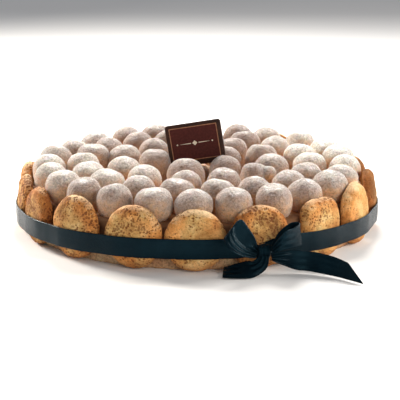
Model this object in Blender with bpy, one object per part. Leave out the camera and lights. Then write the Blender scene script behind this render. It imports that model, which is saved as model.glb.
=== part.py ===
"""A round tiramisu cake, 304 mm across: a sponge base and a cream layer, a fence of
round biscuits standing on edge, a satin ribbon tied in a bow, a top of dusted puffs
and a chocolate plaque. Metres, +Z up. The origin is the middle of the cake's flat
bottom, and the bow is in front, towards -Y. An angle is measured round the cake
from the front, towards +X, in degrees."""

import math
import random

import bmesh
import bpy
from mathutils import Euler, Matrix, Vector

# ---- driving dimensions, in millimetres and degrees ----
MM = 0.001
TOUCH_GAP = 0.3

BISCUIT_THICKNESS = 10.8
BISCUIT_SIDES = 20
BISCUIT_LEAN = 4.0
BISCUIT_FOOT_RADIUS = 141.0
# the domed face: a share of the radius, and the share of the thickness that it has there
BISCUIT_DOME = ((1.0, 0.3), (0.94, 0.6), (0.68, 0.87), (0.0, 1.0))
# the biscuits that show, as they were stood by hand: angle, width, height
SHOWN_BISCUITS = (
    (-93.5, 43.0, 48.5),
    (-76.5, 41.5, 46.5),
    (-59.5, 39.0, 46.0),
    (-39.5, 46.0, 48.0),
    (-19.0, 45.5, 47.0),
    (-0.3, 46.5, 46.5),
    (19.0, 47.5, 47.5),
    (40.5, 39.0, 46.0),
    (60.0, 43.0, 49.0),
    (81.5, 41.0, 48.5),
    (105.0, 44.0, 47.0),
    (127.0, 44.0, 45.0),
    (148.5, 41.0, 52.0),
)
# one biscuit spread nearly square: its number, and the power of its outline
SQUARE_BISCUIT = 8
SQUARE_POWER = 3.6
BACK_BISCUIT_COUNT = 5
BACK_BISCUIT_WIDTH = 44.0
BACK_BISCUIT_HEIGHT = 44.5
SIZE_SPREAD = 0.8

# the side of the sponge and the cream leans in with the biscuits
CORE_RADIUS = 140.4
CORE_SIDES = 64
SPONGE_TOP = 16.0
CREAM_TOP = 33.0

PUFF_RADIUS = 13.3
PUFF_SPREAD = 0.35
PUFF_FOOT_STRETCH = 1.3
PUFF_SIDES = 12
PUFF_BANDS = 7
PUFF_HEIGHT = 44.3
TOP_SLOPE = 0.0128
# three uneven rings of puffs: a radius, and the angles of the puffs that are on it
PUFF_RINGS = (
    (123.5, (-162, -131.5, -101, -87, -72, -58, -44, -30, -15, -1, 13, 28, 42,
             58, 70, 87, 101, 114, 131, 149, 162, 180)),
    (125.0, (-148.5,)),
    (119.5, (-115,)),
    (95.0, (-164, -109, -89, -68, -48, -28, -9, 10, 28, 50, 68, 91, 110, 133,
            153, 175)),
    (100.0, (-147.5, -128)),
    (62.5, (-75, -42, -8, 20, 51, 82, 117, 151, 182)),
    (68.5, (-146, -114)),
)
# the four round the middle, and the big one in front of the plaque
INNER_PUFFS = ((-35.5, 8.5), (23.5, -12.5), (24.0, 25.0), (-9.0, 33.0))
BIG_PUFF = (-9.0, -23.5)
BIG_PUFF_RADIUS = 15.4
MIDDLE_PUFF = (2.0, 5.0)
MIDDLE_PUFF_RADIUS = 12.5
MIDDLE_PUFF_TOP = 45.5

RIBBON_WIDTH = 15.0
RIBBON_THICKNESS = 0.6
RIBBON_RADIUS = 151.5
RIBBON_BOTTOM = 7.4
RIBBON_TILT = 2.6
RIBBON_SAG = 1.0
RIBBON_SAG_WAVES = 3
RIBBON_GRIP = 4.0
# the bow draws the ribbon together: its edges at the knot, and how far round it reaches
RIBBON_PINCH = (13.5, 20.0)
RIBBON_PINCH_REACH = 6.0

KNOT_ANGLE = 18.0
KNOT_RADIUS = 156.9
KNOT_HEIGHT = 16.8
KNOT_SIZE = (8.6, 6.0, 9.4)

PLAQUE_SIZE = (47.6, 3.4, 35.8)
PLAQUE_CORNER = 2.5
PLAQUE_EDGE = 0.6
PLAQUE_MIDDLE = (-1.3, 5.5, 64.4)
PLAQUE_ROLL = 9.9
PLAQUE_BACK_LEAN = 4.0
PLAQUE_TURN = -8.0

# A bow piece is a strip: the middle of the strip, then the vector across it
LEFT_LOOP = (
    ((43.6, -151.6, 17.2), (-1.5, -1.0, -4.4)),
    ((37.5, -153.0, 21.8), (-9.4, -4.5, -10.4)),
    ((33.0, -154.0, 29.0), (-9.4, -3.8, -11.0)),
    ((27.4, -156.6, 36.4), (-10.0, -3.0, -10.8)),
    ((23.6, -160.8, 34.6), (-8.4, -7.0, -9.4)),
    ((26.0, -163.6, 27.0), (-5.2, -10.0, -6.2)),
    ((33.4, -162.6, 20.6), (-3.0, -9.4, -4.4)),
    ((42.8, -157.0, 15.6), (-0.6, -4.0, -2.4)),
)
RIGHT_LOOP = (
    ((54.6, -150.0, 18.6), (0.5, 0.3, -4.8)),
    ((60.0, -146.2, 23.6), (2.2, 1.0, -11.4)),
    ((67.6, -142.2, 28.2), (1.5, 1.0, -14.6)),
    ((73.0, -140.6, 29.2), (1.4, 0.8, -14.8)),
    ((75.6, -143.8, 28.6), (1.6, 0.2, -14.8)),
    ((72.2, -149.4, 27.6), (2.0, 0.5, -14.6)),
    ((61.6, -156.2, 26.2), (-2.0, -0.6, -13.4)),
    ((54.6, -154.2, 18.4), (0.8, 0.0, -5.0)),
)
LEFT_TAIL = (
    ((49.0, -151.8, 10.6), (7.6, 2.2, -1.0)),
    ((45.6, -153.6, 7.0), (9.2, -1.0, -6.0)),
    ((38.4, -155.2, 5.3), (5.8, -5.4, -9.0)),
    ((29.2, -155.4, 3.9), (1.8, -10.6, -6.4)),
    ((19.1, -153.9, 2.3), (-1.2, -13.2, -3.0)),
)
RIGHT_TAIL = (
    ((54.2, -151.6, 12.6), (0.8, -0.4, -4.4)),
    ((62.2, -149.8, 11.4), (1.6, -2.0, -9.6)),
    ((71.0, -147.6, 9.6), (2.6, -2.6, -14.0)),
    ((79.6, -148.0, 9.0), (2.2, -2.8, -14.4)),
    ((88.6, -151.0, 8.5), (0.8, -3.6, -14.4)),
    ((100.6, -157.0, 7.3), (2.0, -7.0, -13.0)),
    ((113.0, -169.4, 6.5), (9.6, -14.2, -11.4)),
)
STRIP_STEPS = 5


# ---- helpers ----
def clear_scene():
    for old in list(bpy.data.objects):
        bpy.data.objects.remove(old, do_unlink=True)


def finish_material(name, colour, roughness):
    material = bpy.data.materials.new(name)
    material.use_nodes = True
    shader = material.node_tree.nodes["Principled BSDF"]
    shader.inputs["Base Color"].default_value = (*colour, 1.0)
    shader.inputs["Roughness"].default_value = roughness
    shader.inputs["Metallic"].default_value = 0.0
    return material


def around(radius, angle, height=0.0):
    """The point at a radius and an angle from the front, in millimetres."""
    turn = math.radians(angle)
    return Vector((radius * math.sin(turn), -radius * math.cos(turn), height))


def add_part(name, bm, material, smooth_angle=40.0):
    """A named object from a mesh that was made in millimetres."""
    bmesh.ops.recalc_face_normals(bm, faces=bm.faces[:])
    bmesh.ops.scale(bm, vec=(MM, MM, MM), verts=bm.verts[:])
    mesh = bpy.data.meshes.new(name)
    bm.to_mesh(mesh)
    bm.free()
    mesh.materials.append(material)
    mesh.shade_smooth()
    mesh.set_sharp_from_angle(angle=math.radians(smooth_angle))
    part = bpy.data.objects.new(name, mesh)
    bpy.context.scene.collection.objects.link(part)
    return part


def turned(profile, sides):
    """A closed mesh, from a profile of (radius, height) points turned about Z."""
    bm = bmesh.new()
    points = [bm.verts.new((radius, 0.0, height)) for radius, height in profile]
    edges = [bm.edges.new(pair) for pair in zip(points, points[1:])]
    bmesh.ops.spin(
        bm,
        geom=points + edges,
        cent=(0.0, 0.0, 0.0),
        axis=(0.0, 0.0, 1.0),
        angle=math.tau,
        steps=sides,
        use_merge=True,
    )
    bmesh.ops.remove_doubles(bm, verts=bm.verts[:], dist=0.001)
    return bm


def smooth_point(stations, place):
    """A point on the smooth curve through a list of vectors."""
    index = min(int(place), len(stations) - 2)
    part = place - index
    before = stations[max(index - 1, 0)]
    start, end = stations[index], stations[index + 1]
    after = stations[min(index + 2, len(stations) - 1)]
    return 0.5 * (
        2.0 * start
        + (end - before) * part
        + (2.0 * before - 5.0 * start + 4.0 * end - after) * part**2
        + (3.0 * start - before - 3.0 * end + after) * part**3
    )


def strip(stations, thickness):
    """A ribbon through its stations, each a middle point and a vector across."""
    middles = [Vector(middle) for middle, across in stations]
    crosses = [Vector(across) for middle, across in stations]
    count = (len(stations) - 1) * STRIP_STEPS
    places = [index / STRIP_STEPS for index in range(count + 1)]
    path = [smooth_point(middles, place) for place in places]
    across = [smooth_point(crosses, place) for place in places]
    bm = bmesh.new()
    rings = []
    for index, point in enumerate(path):
        along = path[min(index + 1, count)] - path[max(index - 1, 0)]
        out = along.cross(across[index]).normalized() * thickness / 2
        half = across[index] / 2
        corners = (half + out, out - half, -half - out, half - out)
        rings.append([bm.verts.new(point + corner) for corner in corners])
    for ring, following in zip(rings, rings[1:]):
        for side in range(4):
            other = (side + 1) % 4
            bm.faces.new((ring[side], ring[other], following[other], following[side]))
    bm.faces.new(rings[0])
    bm.faces.new(rings[-1])
    return bm


# ---- the sponge base ----
def core_radius(height):
    """The radius of the sponge and the cream, whose side leans in."""
    return CORE_RADIUS - height * math.tan(math.radians(BISCUIT_LEAN))


def make_sponge(material):
    profile = (
        (0, 0),
        (CORE_RADIUS, 0),
        (core_radius(SPONGE_TOP), SPONGE_TOP),
        (0, SPONGE_TOP),
    )
    return add_part("sponge_base", turned(profile, CORE_SIDES), material)


# ---- the cream layer with the puffs that are pressed into its top ----
def puff_places():
    """Every puff as (x, y, middle height, radius), from the outer ring inwards."""
    dice = random.Random(7)
    places = []
    for ring_radius, angles in PUFF_RINGS:
        for angle in angles:
            point = around(ring_radius, angle)
            places.append((point.x, point.y))
    places.extend(INNER_PUFFS)
    puffs = []
    for x, y in places:
        radius = PUFF_RADIUS + dice.uniform(-PUFF_SPREAD, PUFF_SPREAD)
        puffs.append((x, y, PUFF_HEIGHT + TOP_SLOPE * y, radius))
    big_x, big_y = BIG_PUFF
    big_height = PUFF_HEIGHT + TOP_SLOPE * big_y + PUFF_RADIUS - BIG_PUFF_RADIUS
    puffs.append((big_x, big_y, big_height, BIG_PUFF_RADIUS))
    middle_height = MIDDLE_PUFF_TOP - MIDDLE_PUFF_RADIUS
    puffs.append((*MIDDLE_PUFF, middle_height, MIDDLE_PUFF_RADIUS))
    return puffs


def make_cream(material):
    bottom = SPONGE_TOP + TOUCH_GAP
    profile = (
        (0, bottom),
        (core_radius(bottom), bottom),
        (core_radius(CREAM_TOP), CREAM_TOP),
        (0, CREAM_TOP),
    )
    cream = add_part("cream_puffs", turned(profile, CORE_SIDES), material, 30.0)
    puffs = bpy.data.collections.new("puffs")
    bpy.context.scene.collection.children.link(puffs)
    dice = random.Random(11)
    for x, y, height, radius in puff_places():
        bm = bmesh.new()
        bmesh.ops.create_uvsphere(
            bm, u_segments=PUFF_SIDES, v_segments=PUFF_BANDS, radius=radius
        )
        turn = Euler((dice.uniform(-0.2, 0.2), dice.uniform(-0.2, 0.2), dice.uniform(0, 3)))
        bmesh.ops.transform(bm, matrix=turn.to_matrix().to_4x4(), verts=bm.verts[:])
        lower = [vert for vert in bm.verts if vert.co.z < 0]
        bmesh.ops.scale(bm, vec=(1, 1, PUFF_FOOT_STRETCH), verts=lower)
        bmesh.ops.translate(bm, vec=(x, y, height), verts=bm.verts[:])
        puff = add_part("puff", bm, material)
        bpy.context.scene.collection.objects.unlink(puff)
        puffs.objects.link(puff)
    union = cream.modifiers.new("puffs", "BOOLEAN")
    union.operation = "UNION"
    union.operand_type = "COLLECTION"
    union.collection = puffs
    union.solver = "EXACT"
    for other in bpy.context.view_layer.objects:
        other.select_set(False)
    bpy.context.view_layer.objects.active = cream
    cream.select_set(True)
    bpy.ops.object.modifier_apply(modifier=union.name)
    for puff in list(puffs.objects):
        bpy.data.objects.remove(puff, do_unlink=True)
    bpy.data.collections.remove(puffs)
    return cream


# ---- the biscuits that stand round the side ----
def biscuit_places():
    """Every biscuit as (angle, width, height), round the cake from the left."""
    dice = random.Random(3)
    first, last = SHOWN_BISCUITS[0][0], SHOWN_BISCUITS[-1][0]
    step = (360.0 - (last - first)) / (BACK_BISCUIT_COUNT + 1)
    places = list(SHOWN_BISCUITS)
    for index in range(BACK_BISCUIT_COUNT):
        width = BACK_BISCUIT_WIDTH + dice.uniform(-SIZE_SPREAD, SIZE_SPREAD)
        height = BACK_BISCUIT_HEIGHT + dice.uniform(-SIZE_SPREAD, SIZE_SPREAD)
        places.append((last + step * (index + 1), width, height))
    return places


def square_up(bm, power):
    """Turn a round outline into one that is nearly square."""
    for vert in bm.verts:
        x, y = abs(vert.co.x), abs(vert.co.y)
        if x + y > 0.0:
            grow = math.hypot(x, y) / (x**power + y**power) ** (1.0 / power)
            vert.co.x *= grow
            vert.co.y *= grow


def make_biscuit(number, angle, width, height, material):
    """A round biscuit with a domed face. Its flat back leans on the cake."""
    dome = [(radius, share * BISCUIT_THICKNESS) for radius, share in BISCUIT_DOME]
    bm = turned([(0.0, 0.0), (0.9, 0.0), *dome], BISCUIT_SIDES)
    if number == SQUARE_BISCUIT:
        square_up(bm, SQUARE_POWER)
    bmesh.ops.scale(bm, vec=(width / 2, height / 2, 1.0), verts=bm.verts[:])
    lean = math.radians(BISCUIT_LEAN)
    foot = around(BISCUIT_FOOT_RADIUS, angle)
    stand = (
        Matrix.Translation(foot)
        @ Matrix.Rotation(math.radians(angle), 4, "Z")
        @ Matrix.Rotation(math.pi / 2 - lean, 4, "X")
        @ Matrix.Translation((0.0, height / 2, 0.0))
    )
    bmesh.ops.transform(bm, matrix=stand, verts=bm.verts[:])
    lowest = min(vert.co.z for vert in bm.verts)
    bmesh.ops.translate(bm, vec=(0.0, 0.0, -lowest), verts=bm.verts[:])
    return add_part(f"biscuit_{number:02d}", bm, material)


# ---- the ribbon round the biscuits ----
def ribbon_stations():
    """The path of the ribbon: it lies on each biscuit and is straight in between."""
    angles = sorted(place[0] for place in biscuit_places())
    stations = []
    for index, angle in enumerate(angles):
        following = angles[(index + 1) % len(angles)]
        if following < angle:
            following += 360.0
        half = math.radians((following - angle) / 2 - RIBBON_GRIP)
        flat = RIBBON_RADIUS * math.cos(half)
        stations.append((angle - RIBBON_GRIP, RIBBON_RADIUS))
        stations.append((angle, RIBBON_RADIUS))
        stations.append((angle + RIBBON_GRIP, RIBBON_RADIUS))
        stations.append(((angle + following) / 2, flat))
    return stations


def ribbon_edges(angle):
    """The heights of the ribbon's two edges. It hangs a little lower at the back."""
    tilt = RIBBON_TILT * math.cos(math.radians(angle))
    sag = RIBBON_SAG * math.cos(math.radians(RIBBON_SAG_WAVES * angle))
    low = RIBBON_BOTTOM + tilt + sag
    high = low + RIBBON_WIDTH
    pinch = max(0.0, 1.0 - abs(angle - KNOT_ANGLE) / RIBBON_PINCH_REACH)
    low += (RIBBON_PINCH[0] - low) * pinch
    high += (RIBBON_PINCH[1] - high) * pinch
    return low, high


def make_ribbon(material):
    bm = bmesh.new()
    rings = []
    for angle, radius in ribbon_stations():
        low, high = ribbon_edges(angle)
        outer = radius + RIBBON_THICKNESS
        corners = ((radius, low), (outer, low), (outer, high), (radius, high))
        rings.append([bm.verts.new(around(r, angle, z)) for r, z in corners])
    for index, ring in enumerate(rings):
        following = rings[(index + 1) % len(rings)]
        for side in range(4):
            other = (side + 1) % 4
            bm.faces.new((ring[side], ring[other], following[other], following[side]))
    return add_part("ribbon_band", bm, material)


# ---- the bow ----
def make_knot(material):
    bm = bmesh.new()
    bmesh.ops.create_cube(bm, size=1.0)
    bmesh.ops.scale(bm, vec=KNOT_SIZE, verts=bm.verts[:])
    bmesh.ops.bevel(
        bm,
        geom=bm.edges[:],
        offset=KNOT_SIZE[1] * 0.32,
        segments=2,
        profile=0.5,
        affect="EDGES",
    )
    turn = Matrix.Rotation(math.radians(KNOT_ANGLE), 4, "Z")
    bmesh.ops.transform(bm, matrix=turn, verts=bm.verts[:])
    middle = around(KNOT_RADIUS, KNOT_ANGLE, KNOT_HEIGHT)
    bmesh.ops.translate(bm, vec=middle, verts=bm.verts[:])
    return add_part("bow_knot", bm, material)


def make_bow(material):
    make_knot(material)
    pieces = (
        ("bow_loop_left", LEFT_LOOP),
        ("bow_loop_right", RIGHT_LOOP),
        ("bow_tail_left", LEFT_TAIL),
        ("bow_tail_right", RIGHT_TAIL),
    )
    for name, stations in pieces:
        add_part(name, strip(stations, RIBBON_THICKNESS), material)


# ---- the chocolate plaque ----
def make_plaque(material):
    width, thick, height = PLAQUE_SIZE
    bm = bmesh.new()
    bmesh.ops.create_cube(bm, size=1.0)
    bmesh.ops.scale(bm, vec=PLAQUE_SIZE, verts=bm.verts[:])
    upright = [
        edge
        for edge in bm.edges
        if abs(edge.verts[0].co.y - edge.verts[1].co.y) > thick / 2
    ]
    bmesh.ops.bevel(
        bm, geom=upright, offset=PLAQUE_CORNER, segments=4, profile=0.5, affect="EDGES"
    )
    front = [
        edge
        for edge in bm.edges
        if all(vert.co.y < 0 for vert in edge.verts)
    ]
    bmesh.ops.bevel(
        bm, geom=front, offset=PLAQUE_EDGE, segments=2, profile=0.5, affect="EDGES"
    )
    stand = (
        Matrix.Translation(PLAQUE_MIDDLE)
        @ Matrix.Rotation(math.radians(PLAQUE_TURN), 4, "Z")
        @ Matrix.Rotation(math.radians(-PLAQUE_BACK_LEAN), 4, "X")
        @ Matrix.Rotation(math.radians(-PLAQUE_ROLL), 4, "Y")
    )
    bmesh.ops.transform(bm, matrix=stand, verts=bm.verts[:])
    return add_part("chocolate_plaque", bm, material)


def main():
    clear_scene()
    sponge = finish_material("sponge", (0.42, 0.24, 0.11), 0.9)
    cream = finish_material("cream", (0.72, 0.56, 0.45), 0.8)
    biscuit = finish_material("biscuit", (0.52, 0.27, 0.09), 0.8)
    satin = finish_material("satin", (0.006, 0.017, 0.024), 0.35)
    chocolate = finish_material("chocolate", (0.055, 0.02, 0.014), 0.4)
    make_sponge(sponge)
    make_cream(cream)
    for number, (angle, width, height) in enumerate(biscuit_places(), start=1):
        make_biscuit(number, angle, width, height, biscuit)
    make_ribbon(satin)
    make_bow(satin)
    make_plaque(chocolate)


main()
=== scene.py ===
# %% [markdown]
# # A tiramisu cake, modelled step by step
# The cake is a round of sponge with a layer of cream on it. Biscuits stand on edge
# round its side and a satin ribbon with a bow holds them. The top is covered in
# puffs of cream under sugar and cocoa, and a chocolate plaque stands in the middle.
# The solid model of the cake comes first, as a frame: it says where every piece is.

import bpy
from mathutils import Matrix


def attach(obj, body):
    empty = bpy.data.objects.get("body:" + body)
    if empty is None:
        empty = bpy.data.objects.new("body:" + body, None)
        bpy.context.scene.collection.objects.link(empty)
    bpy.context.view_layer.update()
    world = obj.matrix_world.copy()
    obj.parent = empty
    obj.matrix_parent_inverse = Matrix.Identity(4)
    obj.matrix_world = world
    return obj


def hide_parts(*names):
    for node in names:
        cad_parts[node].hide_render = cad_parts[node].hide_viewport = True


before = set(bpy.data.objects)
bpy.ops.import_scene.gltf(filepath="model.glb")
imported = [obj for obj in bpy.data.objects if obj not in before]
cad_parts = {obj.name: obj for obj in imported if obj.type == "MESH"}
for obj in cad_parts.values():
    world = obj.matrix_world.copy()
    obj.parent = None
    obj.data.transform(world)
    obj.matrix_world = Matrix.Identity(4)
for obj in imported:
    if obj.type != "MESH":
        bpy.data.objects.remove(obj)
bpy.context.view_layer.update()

# %% [markdown]
# ## The camera
# It stands where the photographer stood: about a metre away and a little above the
# cake. A long lens keeps the near and the far rim alike. The elevation and the
# distance were found by fitting the rim of the cake, its biscuits and its puffs.

# %% Camera
import math
import random

import bmesh
import bpy
from mathutils import Matrix, Vector

# the pieces' sizes are in millimetres and their angles in degrees, where no comment
# says otherwise, and this makes metres of them
MM = 0.001
CAMERA_DISTANCE = 0.988  # metres
CAMERA_ELEVATION = math.radians(14.45)
AIM = Vector((0.00255, 0.0, 0.0166))  # metres
SENSOR_WIDTH = 36.0
LENS = 105.0

bpy.ops.object.camera_add(
    location=AIM
    + Vector((0, -math.cos(CAMERA_ELEVATION), math.sin(CAMERA_ELEVATION))) * CAMERA_DISTANCE,
    rotation=(math.pi / 2 - CAMERA_ELEVATION, 0, 0),
)
camera = bpy.context.object
camera.data.sensor_width = SENSOR_WIDTH
camera.data.lens = LENS
bpy.context.scene.camera = camera
bpy.context.scene.view_settings.view_transform = "Standard"
print("camera at", [round(v, 3) for v in camera.location])

# %% [markdown]
# ## The light
# The cake is lit from above and behind, so the tops of the puffs and their far rims
# are bright and the sides towards us are soft and warm. Four round area lights make
# this, with a pale sky as fill.

# %% Light
LIT_POINT = Vector((0, 0, 0.03))  # metres
# each light's place and size in metres, its power in watts and its colour
LIGHTS = {
    "back_left_light": ((-0.95, 0.65, 0.50), 0.40, 28, (1.0, 0.93, 0.84)),
    "right_light": ((1.15, 0.05, 0.42), 0.35, 12, (1.0, 0.95, 0.88)),
    "back_top_light": ((0.05, 0.85, 0.95), 0.60, 22, (1.0, 0.96, 0.91)),
    "front_right_light": ((0.75, -1.1, 0.45), 0.60, 6.5, (1.0, 0.93, 0.84)),
}
SKY_COLOUR = (0.96, 0.97, 1.0, 1)
SKY_STRENGTH = 0.31


def soft_light(name, place, size, power, colour):
    bpy.ops.object.light_add(type="AREA", location=place)
    light = bpy.context.object
    light.name = name
    light.data.shape = "DISK"
    light.data.size = size
    light.data.energy = power
    light.data.color = colour
    light.rotation_euler = (LIT_POINT - light.location).to_track_quat("-Z", "Y").to_euler()


for name, settings in LIGHTS.items():
    soft_light(name, *settings)

world = bpy.data.worlds.new("pale_sky")
world.use_nodes = True
sky = world.node_tree.nodes["Background"]
sky.inputs["Color"].default_value = SKY_COLOUR
sky.inputs["Strength"].default_value = SKY_STRENGTH
bpy.context.scene.world = world
print(len(LIGHTS), "lights and a pale sky")

# %% [markdown]
# ## Helpers for modelling by hand
# An operator works on everything that is selected. So each step first lets go of all
# pieces, takes one, and picks its faces or edges in code by where they are.

# %% Helpers
HAIR = 0.1  # the least distance that tells one place from another
LEVEL = 0.999  # a face counts as level when its normal points up or down by this much


def let_go():
    """Leave edit mode and deselect every piece."""
    if bpy.context.object and bpy.context.object.mode != "OBJECT":
        bpy.ops.object.mode_set(mode="OBJECT")
    bpy.ops.object.select_all(action="DESELECT")


def take(piece):
    """Make this piece the only one that operators work on."""
    let_go()
    piece.select_set(True)
    bpy.context.view_layer.objects.active = piece


def pick(piece, kind, wanted):
    """In edit mode, select the vertices, edges or faces that pass a test."""
    bpy.ops.mesh.select_mode(type=kind)
    bpy.ops.mesh.select_all(action="DESELECT")
    bm = bmesh.from_edit_mesh(piece.data)
    for thing in {"VERT": bm.verts, "EDGE": bm.edges, "FACE": bm.faces}[kind]:
        thing.select_set(bool(wanted(thing)))
    bmesh.update_edit_mesh(piece.data)


def set_shape(piece):
    """Apply the modifiers, and put the piece's place into its mesh."""
    take(piece)
    for modifier in list(piece.modifiers):
        bpy.ops.object.modifier_apply(modifier=modifier.name)
    bpy.ops.object.transform_apply(location=True, rotation=True, scale=True)


def roughen(piece, pattern, strength, middle=0.5):
    """Push the surface in and out by a pattern that fills space. The strength is in
    metres, and the middle is the value of the pattern that moves nothing."""
    modifier = piece.modifiers.new("roughen", "DISPLACE")
    modifier.texture = pattern
    modifier.texture_coords = "LOCAL"
    modifier.strength = strength
    modifier.mid_level = middle


def cloud_pattern(name, size):
    """Soft noise whose lumps have this size in metres."""
    pattern = bpy.data.textures.new(name, "CLOUDS")
    pattern.noise_scale = size
    pattern.noise_depth = 2
    return pattern


def copy_of(piece, name):
    """A copy with a mesh of its own."""
    take(piece)
    bpy.ops.object.duplicate(linked=False)
    copy = bpy.context.object
    copy.name = copy.data.name = name
    return copy


def add_to_cake(piece, finish, slot, *nodes):
    """Give a piece its finish, and let it stand for solids of the frame."""
    piece.data.materials.clear()
    piece.data.materials.append(finish)
    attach(piece, "root")
    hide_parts(*nodes)


def triangles(piece):
    """How many triangles a piece has, as far as its modifiers are applied."""
    return sum(len(face.vertices) - 2 for face in piece.data.polygons)


def around(radius, angle, height=0.0):
    """The point at a radius and an angle from the front of the cake."""
    turn = math.radians(angle)
    return Vector((radius * math.sin(turn), -radius * math.cos(turn), height))


# %% [markdown]
# ## Helpers for finishes
# A finish is a small net of nodes. Patterns read Object coordinates, so they stay on
# the piece and keep their real size in metres.

# %% Finish helpers
def new_finish(name, roughness, specular=0.5):
    finish = bpy.data.materials.new(name)
    finish.use_nodes = True
    shader = finish.node_tree.nodes["Principled BSDF"]
    shader.inputs["Roughness"].default_value = roughness
    shader.inputs["Specular IOR Level"].default_value = specular
    return finish, finish.node_tree, shader


def node(tree, kind, **settings):
    """A new node. Each setting is a socket's value or else a property of the node."""
    made = tree.nodes.new(kind)
    for key, value in settings.items():
        if key in made.inputs:
            made.inputs[key].default_value = value
        else:
            setattr(made, key, value)
    return made


def wire(tree, source, target):
    tree.links.new(source, target)


def object_place(tree):
    return node(tree, "ShaderNodeTexCoord").outputs["Object"]


def axis_of(tree, vector, axis):
    made = node(tree, "ShaderNodeSeparateXYZ")
    wire(tree, vector, made.inputs[0])
    return made.outputs[axis]


def upward(tree):
    """How far the surface faces up, from -1 to 1."""
    return axis_of(tree, node(tree, "ShaderNodeTexCoord").outputs["Normal"], "Z")


def kept_number(tree, name):
    """A number that the piece keeps on its points under this name."""
    return node(tree, "ShaderNodeAttribute", attribute_name=name).outputs["Fac"]


def speckle(tree, place, grain, detail=2.0, roughness=0.5):
    """Fine noise in space. The grain is its size in metres."""
    made = node(tree, "ShaderNodeTexNoise", Scale=1.0 / grain, Detail=detail, Roughness=roughness)
    wire(tree, place, made.inputs["Vector"])
    return made.outputs["Fac"]


def ramp(tree, value, *stops):
    """Turn a value into a colour, or a number, by stops of (position, colour)."""
    made = node(tree, "ShaderNodeValToRGB")
    band = made.color_ramp
    while len(band.elements) < len(stops):
        band.elements.new(0.5)
    for element, (position, colour) in zip(band.elements, stops):
        element.position = position
        element.color = (*colour, 1) if hasattr(colour, "__len__") else (*[colour] * 3, 1)
    wire(tree, value, made.inputs["Fac"])
    return made.outputs["Color"]


def feed(tree, socket, value):
    """Give a socket a colour or a number, or wire another socket to it."""
    if isinstance(value, bpy.types.NodeSocket):
        wire(tree, value, socket)
    else:
        socket.default_value = (*value, 1) if hasattr(value, "__len__") else value


def blend_colours(tree, amount, first, second, way="MIX"):
    made = node(tree, "ShaderNodeMix", data_type="RGBA", blend_type=way)
    # this node's first sockets are the amount, and 6 and 7 are its two colours
    for index, value in ((0, amount), (6, first), (7, second)):
        feed(tree, made.inputs[index], value)
    return made.outputs[2]


def reckon(tree, operation, *values):
    made = node(tree, "ShaderNodeMath", operation=operation)
    for socket, value in zip(made.inputs, values):
        feed(tree, socket, value)
    return made.outputs[0]


def times_plus(tree, value, factor, more):
    """value × factor + more"""
    return reckon(tree, "MULTIPLY_ADD", value, factor, more)


def relief(tree, shader, height, depth, strength=1.0):
    """Bump by a height from 0 to 1 that stands for a depth in metres."""
    made = node(tree, "ShaderNodeBump", Strength=strength, Distance=depth)
    wire(tree, height, made.inputs["Height"])
    wire(tree, made.outputs["Normal"], shader.inputs["Normal"])


# %% [markdown]
# ## The floor
# A plain pale floor, much larger than the cake, so that its edge is far away. It lies
# a hair below the cake, because two faces in one plane would flicker.

# %% Floor
FLOOR_SIZE = 6.0  # metres
FLOOR_DROP = 0.2


def pale_finish():
    finish, tree, shader = new_finish("pale_floor", roughness=0.9)
    drift = speckle(tree, object_place(tree), grain=0.4)
    wire(tree, ramp(tree, drift, (0.3, 0.93), (0.7, 0.95)), shader.inputs["Base Color"])
    return finish


let_go()
bpy.ops.mesh.primitive_plane_add(size=FLOOR_SIZE, location=(0, 0, -FLOOR_DROP * MM))
floor = bpy.context.object
floor.name = "floor"
floor.data.materials.append(pale_finish())
print("floor:", FLOOR_SIZE, "m wide")

# %% [markdown]
# ## The sponge base
# The bottom of the cake is a round of coffee-soaked sponge. A strip of its open crumb
# shows under the ribbon, between the feet of the biscuits. It starts as a cylinder
# whose side is tapered as the biscuits lean. A voxel remesh spreads an even net of
# faces over it, and patterns push the crumb into that net. Its underside is pressed
# flat again, because the cake stands on it.

# %% Sponge
LEAN = 4.0
CORE_RADIUS = 140.4
SPONGE_TOP = 16.0
LAYER_RIM = 0.8
SPONGE_UNDERSIDE = 0.6


def core_radius(height):
    return CORE_RADIUS - height * math.tan(math.radians(LEAN))


def even_net(piece, size):
    """Remesh a piece into small even faces of this size in millimetres."""
    remesh = piece.modifiers.new("even net", "REMESH")
    remesh.mode = "VOXEL"
    remesh.voxel_size = size * MM
    remesh.use_smooth_shade = True


def round_layer(name, low, high, net):
    """A disc with a tapered side and soft rims, under an even net of faces of this
    size, ready to be roughened. All in millimetres."""
    let_go()
    bpy.ops.mesh.primitive_cylinder_add(
        vertices=128,
        radius=core_radius(low) * MM,
        depth=(high - low) * MM,
        location=(0, 0, (low + high) / 2 * MM),
    )
    layer = bpy.context.object
    layer.name = layer.data.name = name
    bpy.ops.object.mode_set(mode="EDIT")
    pick(layer, "FACE", lambda face: face.normal.z > LEVEL)
    taper = core_radius(high) / core_radius(low)
    bpy.ops.transform.resize(value=(taper, taper, 1))
    # an edge of a rim lies between one level face and one side face
    pick(layer, "EDGE", lambda edge: sum(abs(face.normal.z) > LEVEL for face in edge.link_faces) == 1)
    bpy.ops.mesh.bevel(offset=LAYER_RIM * MM, segments=3)
    bpy.ops.object.mode_set(mode="OBJECT")
    even_net(layer, net)
    return layer


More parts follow.
